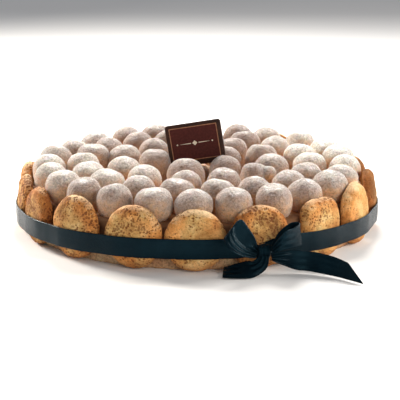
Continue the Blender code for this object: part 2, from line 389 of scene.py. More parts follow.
def sponge_finish():
    finish, tree, shader = new_finish("sponge_crumb", roughness=0.95)
    place = object_place(tree)
    soaked = ramp(
        tree,
        speckle(tree, place, grain=0.03),
        (0.35, (0.46, 0.23, 0.11)),
        (0.52, (0.60, 0.37, 0.20)),
        (0.68, (0.80, 0.60, 0.34)),
    )
    crumb = speckle(tree, place, grain=0.0016, detail=3.0, roughness=0.65)
    pores = ramp(tree, crumb, (0.38, 0.55), (0.55, 1.0))
    colour = blend_colours(tree, 1.0, soaked, pores, "MULTIPLY")
    wire(tree, colour, shader.inputs["Base Color"])
    relief(tree, shader, crumb, depth=0.0006)
    return finish


sponge = round_layer("sponge_round", low=0.0, high=SPONGE_TOP, net=1.9)
roughen(sponge, cloud_pattern("slumped sponge", size=0.045), strength=0.0030, middle=0.40)
roughen(sponge, cloud_pattern("crumb", size=0.0035), strength=0.0010)
set_shape(sponge)
bpy.ops.object.mode_set(mode="EDIT")
pick(sponge, "VERT", lambda vert: vert.co.z < SPONGE_UNDERSIDE * MM)
bpy.ops.transform.resize(value=(1, 1, 0), center_override=(0, 0, 0))
let_go()
add_to_cake(sponge, sponge_finish(), "sponge", "sponge_base")
print("sponge:", triangles(sponge), "triangles")

# %% [markdown]
# ## The cream layer
# The cream lies on the sponge and shows in the gaps between the puffs, dark with the
# cocoa that has fallen there, and darker still towards its outer edge, in painted shade
# where the puffs meet the biscuits. It is made like the sponge, with softer lumps.

# %% Cream
CREAM_TOP = 33.0
LAYER_GAP = 0.1
# where the painted shade at the cream's outer edge begins, and over how far it deepens
SHADED_SIDE_FROM = 0.120  # metres from the middle of the cake
SHADED_SIDE_REACH = 0.020


def cream_finish():
    finish, tree, shader = new_finish("cocoa_stained_cream", roughness=0.85)
    place = object_place(tree)
    colour = ramp(
        tree,
        speckle(tree, place, grain=0.010, detail=4.0),
        (0.35, (0.40, 0.16, 0.055)),
        (0.55, (0.60, 0.29, 0.12)),
        (0.72, (0.72, 0.44, 0.24)),
    )
    # its outer edge and side are darkened, as painted shade where the puffs meet the biscuits
    flat_place = node(tree, "ShaderNodeCombineXYZ")
    for axis in ("X", "Y"):
        wire(tree, axis_of(tree, place, axis), flat_place.inputs[axis])
    out = node(tree, "ShaderNodeVectorMath", operation="LENGTH")
    wire(tree, flat_place.outputs[0], out.inputs[0])
    side = times_plus(tree, out.outputs["Value"], 1 / SHADED_SIDE_REACH, -SHADED_SIDE_FROM / SHADED_SIDE_REACH)
    soaked = ramp(tree, side, (0.0, 0.0), (0.8, 0.85))
    colour = blend_colours(tree, soaked, colour, (0.17, 0.080, 0.035))
    wire(tree, colour, shader.inputs["Base Color"])
    relief(tree, shader, speckle(tree, place, grain=0.003, detail=3.0), depth=0.0008)
    return finish


cream = round_layer("cream_round", low=SPONGE_TOP + LAYER_GAP, high=CREAM_TOP, net=2.3)
roughen(cream, cloud_pattern("spread cream", size=0.016), strength=0.0030, middle=0.6)
set_shape(cream)
add_to_cake(cream, cream_finish(), "cream", "cream_puffs")
print("cream:", triangles(cream), "triangles")

# %% [markdown]
# ## The puffs
# 59 soft puffs of cream sit on the cake in three uneven rings, with a few in the
# middle, and the top they make slopes up a little towards the back. They could be set
# out by chance, but the eye knows this pattern, so each is given its place. One
# puff looks split, and is made of two.

# %% Where the puffs sit
PUFF_RADIUS = 13.3
PUFF_SPREAD = 0.35
PUFF_FOOT_STRETCH = 1.3
# how high the middle of a puff is, and how much that rises towards the back
PUFF_HEIGHT = 44.3
TOP_SLOPE = 0.0128
# each ring's radius, and the angles of its puffs from the front
PUFF_RINGS = (
    (123.5, (-162, -131.5, -101, -87, -72, -58, -44, -30, -15, -1, 13, 28, 42,
             58, 70, 87, 101, 114, 131, 149, 162, 180)),
    (125.0, (-148.5,)),
    (119.5, (-115,)),
    (95.0, (-164, -109, -89, -68, -48, -28, -9, 10, 28, 50, 68, 91, 110, 133,
            153, 175)),
    (100.0, (-147.5, -128)),
    (62.5, (-75, -42, -8, 20, 51, 82, 117, 151, 182)),
    (68.5, (-146, -114)),
)
INNER_PUFFS = ((-35.5, 8.5), (23.5, -12.5), (24.0, 25.0), (-9.0, 33.0))
BIG_PUFF = (-9.0, -23.5)
BIG_PUFF_RADIUS = 15.4
# one puff is split: its ring and angle, how its main part shrinks and shifts to the
# left, and its second part as an offset to the right, to the back and up, and a radius
SPLIT_PUFF = (62.5, 51)
SPLIT_SHARE = 0.86
SPLIT_SHIFT = 2.0
SPLIT_PART = (8.2, -2.0, -2.2, 6.8)
# the low puff under the plaque
MIDDLE_PUFF = (2.0, 5.0)
MIDDLE_PUFF_RADIUS = 12.5
MIDDLE_PUFF_TOP = 45.5


def puff_places():
    """Every puff as (x, y, middle height, radius), from the outer ring inwards."""
    dice = random.Random(7)
    places = []
    for ring_radius, angles in PUFF_RINGS:
        for angle in angles:
            point = around(ring_radius, angle)
            places.append((point.x, point.y))
    places.extend(INNER_PUFFS)
    puffs = []
    for x, y in places:
        radius = PUFF_RADIUS + dice.uniform(-PUFF_SPREAD, PUFF_SPREAD)
        puffs.append((x, y, PUFF_HEIGHT + TOP_SLOPE * y, radius))
    big_x, big_y = BIG_PUFF
    big_height = PUFF_HEIGHT + TOP_SLOPE * big_y + PUFF_RADIUS - BIG_PUFF_RADIUS
    puffs.append((big_x, big_y, big_height, BIG_PUFF_RADIUS))
    puffs.append((*MIDDLE_PUFF, MIDDLE_PUFF_TOP - MIDDLE_PUFF_RADIUS, MIDDLE_PUFF_RADIUS))
    split = around(*SPLIT_PUFF)
    for index, (x, y, height, radius) in enumerate(puffs):
        if math.hypot(x - split.x, y - split.y) < HAIR:
            top = height + radius
            small = radius * SPLIT_SHARE
            puffs[index] = (x - SPLIT_SHIFT, y, top - small, small)
            right, back, up, part = SPLIT_PART
            puffs.append((x + right, y + back, top + up - part, part))
    return puffs


print(len(puff_places()), "puffs, one of them in two parts")

# %% [markdown]
# One puff is modelled: a sphere whose lower half is drawn down to a foot. A subdivided
# cube would do as well, but the rings of the sphere follow the puff's own outline.

# %% One puff
let_go()
bpy.ops.mesh.primitive_uv_sphere_add(segments=72, ring_count=44, radius=PUFF_RADIUS * MM)
plain_puff = bpy.context.object
bpy.ops.object.mode_set(mode="EDIT")
pick(plain_puff, "VERT", lambda vert: vert.co.z < -HAIR * MM)
bpy.ops.transform.resize(value=(1, 1, PUFF_FOOT_STRETCH), center_override=(0, 0, 0))
bpy.ops.object.mode_set(mode="OBJECT")
bpy.ops.object.shade_smooth()
print("one puff:", triangles(plain_puff), "triangles")

# %% [markdown]
# The finish of the puffs is powder on cream. Sugar lies thick on what faces up, and
# thins out down the sides to warm, pale brown cream. The same colours paint the light
# as well: grey-lilac painted shade where the sides turn steep, and warm painted bounce
# light where they turn under. Cocoa specks lie in the sugar, more of them in the middle
# of the cake than at its two ends. Which puff got how much is kept on the points of its
# mesh, so one finish serves them all. Light sinks a little way into cream, and powder
# shines softly at its edge, so subsurface and sheen are used.

# %% Dusted finish
# where the feet of the puffs turn orange brown: partly bare cream, partly painted shade and bounce light
FOOT_SHADE_TOP = 0.038  # metres above the floor
FOOT_SHADE_REACH = 0.010


def dusted_finish():
    finish, tree, shader = new_finish("sugar_and_cocoa_on_cream", roughness=0.9, specular=0.2)
    shader.inputs["Subsurface Weight"].default_value = 0.35
    shader.inputs["Subsurface Radius"].default_value = (1.0, 0.45, 0.20)
    shader.inputs["Subsurface Scale"].default_value = 0.005
    shader.inputs["Sheen Weight"].default_value = 0.9
    shader.inputs["Sheen Roughness"].default_value = 0.35
    place = object_place(tree)
    # sugar lies on what faces up, and its edge is ragged. Some puffs got less of it. The
    # same mask also paints the light: grey-lilac painted shade where the sides turn steep,
    # and warm painted bounce light where they turn under.
    thin = kept_number(tree, "thin")
    edge = speckle(tree, place, grain=0.0020, detail=4.0, roughness=0.75)
    patches = speckle(tree, place, grain=0.007)
    caught_and_lit = times_plus(tree, upward(tree), 0.5, 0.5)
    caught_and_lit = reckon(tree, "ADD", caught_and_lit, times_plus(tree, edge, 0.28, -0.14))
    caught_and_lit = reckon(tree, "ADD", caught_and_lit, times_plus(tree, patches, 0.50, -0.25))
    caught_and_lit = reckon(tree, "SUBTRACT", caught_and_lit, reckon(tree, "MULTIPLY", thin, 0.06))
    thick_sugar_and_light = ramp(
        tree,
        caught_and_lit,
        (0.30, (0.84, 0.53, 0.29)),
        (0.48, (0.81, 0.56, 0.37)),
        (0.60, (0.74, 0.59, 0.46)),
        (0.74, (0.72, 0.66, 0.58)),
        (0.91, (0.80, 0.77, 0.71)),
        (1.00, (0.94, 0.92, 0.88)),
    )
    thin_sugar_and_light = ramp(
        tree,
        caught_and_lit,
        (0.30, (0.72, 0.42, 0.22)),
        (0.44, (0.60, 0.40, 0.26)),
        (0.56, (0.47, 0.34, 0.265)),
        (0.74, (0.43, 0.34, 0.295)),
        (0.90, (0.50, 0.44, 0.41)),
        (1.00, (0.88, 0.84, 0.80)),
    )
    colour = blend_colours(tree, thin, thick_sugar_and_light, thin_sugar_and_light)
    # the powder is grainy on top, and smoother where little was caught
    grains = speckle(tree, place, grain=0.0014, detail=4.0, roughness=0.8)
    grainy = ramp(tree, grains, (0.37, 0.57), (0.50, 1.02), (0.61, 1.36))
    dusty = ramp(tree, caught_and_lit, (0.50, 0.35), (0.80, 1.0))
    colour = blend_colours(tree, dusty, colour, grainy, "MULTIPLY")
    # specks of cocoa lie among the sugar
    specks = speckle(tree, place, grain=0.0021, detail=3.0, roughness=0.8)
    specks = ramp(tree, specks, (0.36, 1.0), (0.48, 0.0))
    specks = reckon(tree, "MULTIPLY", specks, times_plus(tree, thin, 0.57, 0.03))
    colour = blend_colours(tree, specks, colour, (0.20, 0.11, 0.075))
    # the middle of the cake got the most cocoa
    cocoa = kept_number(tree, "cocoa")
    colour = blend_colours(tree, cocoa, colour, (0.66, 0.58, 0.56), "MULTIPLY")
    # near the cream layer the sides turn orange brown: partly the bare cream, partly painted shade and
    # warm painted bounce light where the puffs meet the cream
    low = times_plus(tree, axis_of(tree, place, "Z"), -1.0 / FOOT_SHADE_REACH, FOOT_SHADE_TOP / FOOT_SHADE_REACH)
    foot_shade_and_bare_cream = ramp(tree, low, (0.0, 0.0), (1.0, 0.65))
    # and the puff under the plaque got hardly any powder
    foot_shade_and_bare_cream = reckon(tree, "MAXIMUM", foot_shade_and_bare_cream, kept_number(tree, "bare"))
    colour = blend_colours(tree, foot_shade_and_bare_cream, colour, (0.60, 0.33, 0.17))
    wire(tree, colour, shader.inputs["Base Color"])
    relief(tree, shader, grains, depth=0.0014)
    return finish


powder = dusted_finish()
print("powder:", len(powder.node_tree.nodes), "nodes")

# %% [markdown]
# Sugar and cocoa are shaken over the cake by hand, so they don't fall evenly. Both
# ends got the most sugar and the middle the most cocoa. The front rim is given less
# sugar, which paints the shade on the front row of puffs. A place on the cake gives
# both amounts, and each puff then departs from them a little.

# %% Where the powder falls
# the sugar is thinnest this far right of the middle, and past a distance from there
# it gets thicker
SUGAR_LEAST_AT = 8
SUGAR_STARTS, SUGAR_REACH = 30, 50
THIN_SHARE = 0.9
# the front rim is given less of it, which paints shade on the front row of puffs, and
# from here backwards it gets thicker, at the right a little later
FRONT_RIM, FRONT_REACH, FRONT_SLANT = -75, 40, 0.2
# the back left got less sugar again, and some cocoa
FAR_STARTS, FAR_REACH = -5, 30
FAR_LEFT_LOSS = 0.55
FAR_LEFT_COCOA = 0.5
# the middle of the cocoa, how far it reaches across and back, and how much is there
COCOA_MIDDLE = (10, 45)
COCOA_REACH = (95, 110)
COCOA_PEAK = 1.15


def clamp(value):
    return min(1.0, max(0.0, value))


def rise(value, start, reach):
    """0 up to the start, then straight up to 1 over the reach."""
    return clamp((value - start) / reach)


def fallen_powder(x, y):
    """How thin the sugar lies at a place, which at the front rim stands for painted shade, and how much
    cocoa lies there.
    """
    far_left = rise(y, FAR_STARTS, FAR_REACH) * rise(-x, 0, FAR_REACH)
    towards_ends = rise(abs(x - SUGAR_LEAST_AT), SUGAR_STARTS, SUGAR_REACH)
    behind_front = rise(y - FRONT_SLANT * x, FRONT_RIM, FRONT_REACH)
    thick = towards_ends * behind_front * (1.0 - FAR_LEFT_LOSS * far_left)
    across = (x - COCOA_MIDDLE[0]) / COCOA_REACH[0]
    back = (y - COCOA_MIDDLE[1]) / COCOA_REACH[1]
    cocoa = max(COCOA_PEAK - math.hypot(across, back), FAR_LEFT_COCOA * far_left)
    return 1.0 - THIN_SHARE * thick, cocoa


thin, cocoa = fallen_powder(0, 0)
print(f"middle of the cake: {thin:.2f} of thin sugar and {cocoa:.2f} of cocoa")

# %% [markdown]
# The plain puff is copied to every place. Each copy gets its own height, width and
# turn, is pressed towards a cylinder so that its shoulders fill out, and is roughened
# where it lies, so that no two are alike. A low puff is wider, as it holds as much
# cream. The copies of one ring are joined into one piece.

# %% Set out the puffs
LOWEST = 0.84
WIDER_WHEN_LOW = 0.35
WIDTHS = (1.0, 1.04)
DEPTHS = (0.97, 1.02)
LEANS = (-0.2, 0.2)  # radians
TURNS = (-0.5, 0.5)  # radians
SHOULDERS = (0.02, 0.08, 0.16, 0.26, 0.34)
THIN_SPREAD = (-0.25, 0.15)
COCOA_SPREAD = (-0.2, 0.2)
BARE = 0.85
# how far from the middle each ring of puffs starts and ends
RINGS = {"outer_puffs": (110, 150), "middle_puffs": (80, 110), "inner_puffs": (0, 80)}

uneven = cloud_pattern("uneven puff", size=0.011)
powder_lumps = cloud_pattern("powder lumps", size=0.0022)


def mark_all(piece, name, value):
    """Keep one number on every point of a piece, for its finish."""
    attribute = piece.data.attributes.new(name, "FLOAT", "POINT")
    attribute.data.foreach_set("value", [value] * len(piece.data.vertices))


def set_out_puffs(name, places, seed):
    """Copy the plain puff to each place, shape and roughen the copies and join them.
    A puff that is lower than it is wide keeps the height of its top."""
    dice = random.Random(seed)
    copies = []
    for index, (x, y, height, radius) in enumerate(places):
        puff = copy_of(plain_puff, f"{name}_{index}")
        grow = radius / PUFF_RADIUS
        low = dice.uniform(LOWEST, 1.0) if radius < BIG_PUFF_RADIUS else 1.0
        wide = grow * (1.0 + WIDER_WHEN_LOW * (1.0 - low))
        puff.scale = (wide * dice.uniform(*WIDTHS), wide * dice.uniform(*DEPTHS), grow * low)
        puff.rotation_euler = (dice.uniform(*LEANS), dice.uniform(*LEANS), dice.uniform(*TURNS))
        puff.location = (x * MM, y * MM, (height + radius * (1.0 - low)) * MM)
        shoulders = puff.modifiers.new("shoulders", "CAST")
        shoulders.cast_type = "CYLINDER"
        shoulders.factor = dice.choice(SHOULDERS)
        set_shape(puff)
        roughen(puff, uneven, strength=0.0015)
        roughen(puff, powder_lumps, strength=0.0005)
        set_shape(puff)
        thin, cocoa = fallen_powder(x, y)
        mark_all(puff, "thin", clamp(thin + dice.uniform(*THIN_SPREAD)))
        mark_all(puff, "cocoa", clamp(cocoa + dice.uniform(*COCOA_SPREAD)))
        mark_all(puff, "bare", BARE if radius == MIDDLE_PUFF_RADIUS else 0.0)
        copies.append(puff)
    take(copies[0])
    for puff in copies:
        puff.select_set(True)
    bpy.ops.object.join()
    joined = bpy.context.object
    joined.name = joined.data.name = name
    add_to_cake(joined, powder, "cream", "cream_puffs")
    print(name + ":", len(places), "puffs,", triangles(joined), "triangles")


for seed, (name, (start, end)) in enumerate(RINGS.items(), start=1):
    ring = [place for place in puff_places() if start < math.hypot(*place[:2]) <= end]
    set_out_puffs(name, ring, seed)
bpy.data.objects.remove(plain_puff)

# %% [markdown]
# ## The biscuits
# They are round and flat at the back, with a domed, browned face full of small pits
# from the bubbles of the batter. 18 of them stand on edge round the cake and lean
# inwards. Those that show have their own place and size, and the others fill the back.

# %% Where the biscuits stand
BISCUIT_THICKNESS = 10.8
BISCUIT_FOOT_RADIUS = 141.0
# each one's angle from the front, its width and height, and how pitted and how
# browned it came out of the oven, where 0 is hardly and 1 is well
SHOWN_BISCUITS = (
    (-93.5, 43.0, 48.5, 1.20, 0.70),
    (-76.5, 41.5, 46.5, 1.50, 0.55),
    (-59.5, 39.0, 46.0, 1.15, 0.80),
    (-39.5, 46.0, 48.0, 0.95, 0.55),
    (-19.0, 45.5, 47.0, 0.85, 0.42),
    (-0.3, 46.5, 46.5, 0.80, 0.17),
    (19.0, 47.5, 47.5, 1.15, 0.72),
    (40.5, 39.0, 46.0, 1.00, 0.32),
    (60.0, 43.0, 49.0, 0.25, 0.25),
    (81.5, 41.0, 48.5, 0.25, 1.35),
    (105.0, 44.0, 47.0, 0.30, 1.50),
    (127.0, 44.0, 45.0, 0.60, 0.55),
    (148.5, 41.0, 52.0, 0.60, 0.60),
)
BACK_BISCUIT_COUNT = 5
BACK_BISCUIT_WIDTH = 44.0
BACK_BISCUIT_HEIGHT = 44.5
SIZE_SPREAD = 0.8
BACK_PITTED = (0.4, 0.9)
BACK_BROWNED = (0.3, 0.7)


def biscuit_places():
    """Every biscuit as (angle, width, height, pitted, browned), from the left round."""
    dice, oven = random.Random(3), random.Random(5)
    first, last = SHOWN_BISCUITS[0][0], SHOWN_BISCUITS[-1][0]
    step = (360.0 - (last - first)) / (BACK_BISCUIT_COUNT + 1)
    places = list(SHOWN_BISCUITS)
    for index in range(BACK_BISCUIT_COUNT):
        width = BACK_BISCUIT_WIDTH + dice.uniform(-SIZE_SPREAD, SIZE_SPREAD)
        height = BACK_BISCUIT_HEIGHT + dice.uniform(-SIZE_SPREAD, SIZE_SPREAD)
        bake = oven.uniform(*BACK_PITTED), oven.uniform(*BACK_BROWNED)
        places.append((last + step * (index + 1), width, height, *bake))
    return places


print(len(biscuit_places()), "biscuits round the cake")

# %% [markdown]
# One biscuit is modelled: a cylinder whose front rim gets a wide bevel and whose cap
# is inset and raised in two steps, remeshed into small even faces and calmed. Batter
# spreads like this, low and round at the rim. How far out each point is, from 0 in
# the middle to 1 at the rim, is kept on the mesh for the finish.

# %% One biscuit
PLAIN_SIZE = 46.0
CROWN = 0.9
# how far each step goes in and how much it rises, up to the crown
CROWN_STEPS = ((4.5, 0.55), (5.0, 0.35))
RIM_ROUND = 7.4
BACK_ROUND = 2.4
BISCUIT_NET = 0.72
CALM_ROUNDS = 6
cut_height = BISCUIT_THICKNESS - CROWN

let_go()
bpy.ops.mesh.primitive_cylinder_add(
    vertices=96,
    radius=PLAIN_SIZE / 2 * MM,
    depth=cut_height * MM,
    location=(0, 0, cut_height / 2 * MM),
)
plain_biscuit = bpy.context.object
bpy.ops.object.transform_apply(location=True, rotation=True, scale=True)
bpy.ops.object.mode_set(mode="EDIT")
pick(plain_biscuit, "EDGE", lambda edge: all(v.co.z > (cut_height - HAIR) * MM for v in edge.verts))
bpy.ops.mesh.bevel(offset=RIM_ROUND * MM, segments=10, profile=0.5)
pick(plain_biscuit, "EDGE", lambda edge: all(v.co.z < HAIR * MM for v in edge.verts))
bpy.ops.mesh.bevel(offset=BACK_ROUND * MM, segments=4)
pick(plain_biscuit, "FACE", lambda face: face.normal.z > LEVEL)
for step_in, step_up in CROWN_STEPS:
    bpy.ops.mesh.inset(thickness=step_in * MM)
    bpy.ops.transform.translate(value=(0, 0, step_up * MM))
bpy.ops.object.mode_set(mode="OBJECT")
even_net(plain_biscuit, BISCUIT_NET)
calm = plain_biscuit.modifiers.new("calm", "SMOOTH")
calm.iterations = CALM_ROUNDS
set_shape(plain_biscuit)
rim = plain_biscuit.data.attributes.new("rim", "FLOAT", "POINT")
for point, vert in zip(rim.data, plain_biscuit.data.vertices):
    point.value = math.hypot(vert.co.x, vert.co.y) / (PLAIN_SIZE / 2 * MM)
print("one biscuit:", triangles(plain_biscuit), "triangles")

# %% [markdown]
# The finish of the biscuits is a crust. It goes from pale gold to brown in patches,
# olive gold in the middle and orange brown round it. A painted highlight lies along
# the top of the rim, and painted shade on what faces down and in the pits. An image
# could show this, but patterns in space join up all round the biscuit, and what the
# oven did to each one is kept on its mesh.

# %% Baked finish
BUBBLE = 0.0020  # metres


def baked_finish():
    finish, tree, shader = new_finish("baked_biscuit", roughness=0.82, specular=0.25)
    place = object_place(tree)
    facing_up = upward(tree)
    pitted = kept_number(tree, "pitted")
    browned = kept_number(tree, "browned")
    # the crust goes from pale gold to brown, in patches
    patches = speckle(tree, place, grain=0.014, detail=4.0, roughness=0.6)
    patches = reckon(tree, "SUBTRACT", patches, times_plus(tree, browned, 0.30, -0.11))
    crust_colour = ramp(
        tree,
        patches,
        (0.12, (0.22, 0.090, 0.026)),
        (0.32, (0.42, 0.175, 0.048)),
        (0.43, (0.54, 0.250, 0.074)),
        (0.54, (0.63, 0.335, 0.112)),
        (0.68, (0.74, 0.45, 0.190)),
    )
    # the crust is olive gold in the middle and orange brown round it, unevenly
    rim = kept_number(tree, "rim")
    uneven_rim = speckle(tree, place, grain=0.017)
    rim = reckon(tree, "ADD", rim, times_plus(tree, uneven_rim, 2.6, -1.3))
    warmth = ramp(
        tree,
        rim,
        (0.35, (0.93, 1.06, 1.12)),
        (0.65, (1.0, 1.0, 1.0)),
        (1.0, (1.05, 0.88, 0.74)),
    )
    crust_colour = blend_colours(tree, 1.0, crust_colour, warmth, "MULTIPLY")
    # the top of the rim gets a painted highlight
    painted_rim_highlight = reckon(tree, "ADD", facing_up, times_plus(tree, patches, 1.2, -0.6))
    painted_rim_highlight = ramp(tree, painted_rim_highlight, (0.50, 0.0), (0.95, 0.60))
    crust_colour = blend_colours(tree, painted_rim_highlight, crust_colour, (0.90, 0.68, 0.42))
    # what faces down gets painted shade, browner and darker
    below = ramp(tree, times_plus(tree, facing_up, -1.0, 0.0), (0.05, 0.0), (0.8, 0.6))
    crust_colour = blend_colours(tree, below, crust_colour, (0.42, 0.17, 0.055))
    grain = speckle(tree, place, grain=0.0013, detail=4.0, roughness=0.75)
    crumb = ramp(tree, grain, (0.34, 0.62), (0.50, 1.0), (0.66, 1.15))
    colour = blend_colours(tree, 1.0, crust_colour, crumb, "MULTIPLY")
    # small pits in the shader, in clusters, on top of the modelled ones, painted dark as shade in their
    # hollows
    bubbles = node(tree, "ShaderNodeTexVoronoi", Scale=1.0 / BUBBLE, Randomness=1.0)
    wire(tree, place, bubbles.inputs["Vector"])
    sparse = ramp(tree, speckle(tree, place, grain=0.013), (0.38, 0.0), (0.62, 1.0))
    clusters = times_plus(tree, sparse, 0.34, -0.14)
    hollow = reckon(tree, "ADD", bubbles.outputs["Distance"], clusters)
    hollow = reckon(tree, "SUBTRACT", hollow, times_plus(tree, pitted, 0.27, -0.16))
    small = ramp(tree, hollow, (0.14, 1.0), (0.30, 0.0))
    # the modelled pits are darkened by how deep they are, as painted shade
    large = ramp(tree, kept_number(tree, "pit"), (0.25, 0.0), (0.60, 1.0))
    # the painted shade in the pits is deeper in some than in others
    uneven_pit_shade = ramp(tree, speckle(tree, place, grain=0.005), (0.38, 0.60), (0.62, 1.0))
    pit_shade = reckon(tree, "MULTIPLY", reckon(tree, "MAXIMUM", small, large), uneven_pit_shade)
    colour = blend_colours(tree, pit_shade, colour, (0.20, 0.065, 0.017))
    wire(tree, colour, shader.inputs["Base Color"])
    surface = reckon(tree, "SUBTRACT", grain, reckon(tree, "MULTIPLY", small, 0.8))
    relief(tree, shader, surface, depth=0.0008)
    return finish


baked = baked_finish()
print("crust:", len(baked.node_tree.nodes), "nodes")

# %% [markdown]
# The copies are scaled to each biscuit's width and height, leant against the cake,
# and pitted where they stand, so that each has its own pits. The pits come from a
# Voronoi pattern: its cells are like bubbles, and a narrow ramp keeps only their
# middles. How deep each point was pushed in is kept on the mesh, and the finish
# paints shade into the pits by it. One biscuit spread nearly square.

# %% Stand the biscuits round the cake
SQUARE_BISCUIT = 8
SQUARE_POWER = 3.6
PIT_SPACING = 0.0046  # metres
PIT_FLOOR, PIT_EDGE = 0.10, 0.19
PIT_DEPTH = 0.9
LEAST_PIT = 0.4

warp = cloud_pattern("uneven bake", size=0.018)
crust = cloud_pattern("crust", size=0.0026)
pits = bpy.data.textures.new("pits", "VORONOI")
pits.noise_scale = PIT_SPACING
pits.use_color_ramp = True
for stop, position, grey in zip(pits.color_ramp.elements, (PIT_FLOOR, PIT_EDGE), (0, 1)):
    stop.position = position
    stop.color = (grey, grey, grey, 1)


def positions(piece):
    """Where the points of a piece are now."""
    return [vert.co.copy() for vert in piece.data.vertices]


def square_up(biscuit):
    """Turn the round outline into one that is nearly square."""
    for vert in biscuit.data.vertices:
        x, y = abs(vert.co.x), abs(vert.co.y)
        if x + y > 0.0:
            square = (x**SQUARE_POWER + y**SQUARE_POWER) ** (1.0 / SQUARE_POWER)
            grow = math.hypot(x, y) / square
            vert.co.x *= grow
            vert.co.y *= grow


def stand_biscuit(number, angle, width, height, pitted, browned):
    """Copy the plain biscuit, size it, lean it on the cake, roughen it and pit it."""
    biscuit = copy_of(plain_biscuit, f"pitted_biscuit_{number:02d}")
    if number == SQUARE_BISCUIT:
        square_up(biscuit)
    biscuit.matrix_world = (
        Matrix.Translation(around(BISCUIT_FOOT_RADIUS * MM, angle))
        @ Matrix.Rotation(math.radians(angle), 4, "Z")
        @ Matrix.Rotation(math.pi / 2 - math.radians(LEAN), 4, "X")
        @ Matrix.Translation((0, height / 2 * MM, 0))
        @ Matrix.Diagonal((width / PLAIN_SIZE, height / PLAIN_SIZE, 1, 1))
    )
    bpy.ops.object.transform_apply(location=True, rotation=True, scale=True)
    roughen(biscuit, warp, strength=0.0024, middle=0.55)
    roughen(biscuit, crust, strength=0.0005)
    set_shape(biscuit)
    before = positions(biscuit)
    depth = PIT_DEPTH * (LEAST_PIT + (1.0 - LEAST_PIT) * pitted)
    roughen(biscuit, pits, strength=depth * MM, middle=1.0)
    set_shape(biscuit)
    pushed = biscuit.data.attributes.new("pit", "FLOAT", "POINT")
    for point, old, new in zip(pushed.data, before, positions(biscuit)):
        point.value = (old - new).length / (PIT_DEPTH * MM)
    mark_all(biscuit, "pitted", pitted)
    mark_all(biscuit, "browned", browned)
    biscuit.location.z = -min(vert.co.z for vert in biscuit.data.vertices)
    set_shape(biscuit)
    add_to_cake(biscuit, baked, "biscuit", f"biscuit_{number:02d}")
    return biscuit


for number, place in enumerate(biscuit_places(), start=1):
    last_biscuit = stand_biscuit(number, *place)
bpy.data.objects.remove(plain_biscuit)
print("last biscuit:", triangles(last_biscuit), "triangles")

# %% [markdown]
# ## The satin ribbon
# The finish comes first. Satin is dark and glossy, and its threads run along the
# ribbon, so the weave follows a UV map that runs along and across the cloth. Patterns
# in space would cut through the folds.

# %% Satin finish
def satin_finish():
    finish, tree, shader = new_finish("dark_satin", roughness=0.24, specular=0.13)
    shader.inputs["Specular Tint"].default_value = (0.30, 0.75, 1.0, 1)
    colour = ramp(
        tree,
        speckle(tree, object_place(tree), grain=0.02, detail=3.0),
        (0.35, (0.0010, 0.0042, 0.0073)),
        (0.65, (0.0021, 0.0086, 0.0135)),
    )
    wire(tree, colour, shader.inputs["Base Color"])
    weave_map = node(tree, "ShaderNodeUVMap", uv_map="weave").outputs["UV"]
    threads = node(tree, "ShaderNodeTexWave", bands_direction="Y", Scale=40.0, Distortion=1.5)
    wire(tree, weave_map, threads.inputs["Vector"])
    relief(tree, shader, threads.outputs["Fac"], depth=0.00005, strength=0.5)
    return finish


satin = satin_finish()
print("satin:", len(satin.node_tree.nodes), "nodes")

# %% [markdown]
# A 15 mm satin ribbon runs round the biscuits. It lies on each face and is straight, a
# little puckered, in between, and the bow draws it together at the knot. So its path
# is worked out from the biscuits' own angles.

# %% The ribbon's path
RIBBON_WIDTH = 15.0
RIBBON_RADIUS = 151.6
RIBBON_BOTTOM = 7.4
RIBBON_TILT = 2.6
RIBBON_SAG = 1.0
RIBBON_SAG_WAVES = 3
# the angle to each side of a biscuit's middle over which the ribbon lies on it
RIBBON_GRIP = 4.0
ON_BISCUIT = (-1.0, -0.5, 0.0, 0.5, 1.0)
BETWEEN_BISCUITS = (-0.7, -0.42, -0.14, 0.14, 0.42, 0.7)
PUCKER = 0.25
# where the ribbon's two edges are at the knot, and from how many degrees off they go
RIBBON_PINCH = (13.5, 20.0)
RIBBON_PINCH_REACH = 6.0
KNOT_ANGLE = 18.0


def ribbon_path():
    """Points (angle, radius) of the ribbon: on each biscuit, and puckered between."""
    dice = random.Random(9)
    angles = sorted(place[0] for place in biscuit_places())
    stations = []
    for index, angle in enumerate(angles):
        following = angles[(index + 1) % len(angles)]
        if following < angle:
            following += 360.0
        half = (following - angle) / 2 - RIBBON_GRIP
        for part in ON_BISCUIT:
            stations.append((angle + part * RIBBON_GRIP, RIBBON_RADIUS))
        middle_angle = (angle + following) / 2
        turn = math.radians(half)
        for part in BETWEEN_BISCUITS:
            flat = RIBBON_RADIUS * math.cos(turn) / math.cos(turn * part)
            stations.append((middle_angle + part * half, flat + dice.uniform(-PUCKER, PUCKER)))
    return stations


def ribbon_edges(angle):
    """The heights of the ribbon's two edges, and how much the bow pinches it there."""
    tilt = RIBBON_TILT * math.cos(math.radians(angle))
    sag = RIBBON_SAG * math.cos(math.radians(RIBBON_SAG_WAVES * angle))
    low = RIBBON_BOTTOM + tilt + sag
    high = low + RIBBON_WIDTH
    pinch = max(0.0, 1.0 - abs(angle - KNOT_ANGLE) / RIBBON_PINCH_REACH)
    low += (RIBBON_PINCH[0] - low) * pinch
    high += (RIBBON_PINCH[1] - high) * pinch
    return low, high, pinch


print(len(ribbon_path()), "points along the ribbon")

# %% [markdown]
# Cloth is thin, so it is modelled as a strip of faces: points along its path, several
# across, a subdivision to smooth them and a Solidify modifier for the thickness. Where
# it is drawn together it keeps its width of cloth, so it is laid in pleats there.

# %% Cloth
CLOTH_THICKNESS = 0.35
PLEATS = 3
POINTS_ACROSS = 13


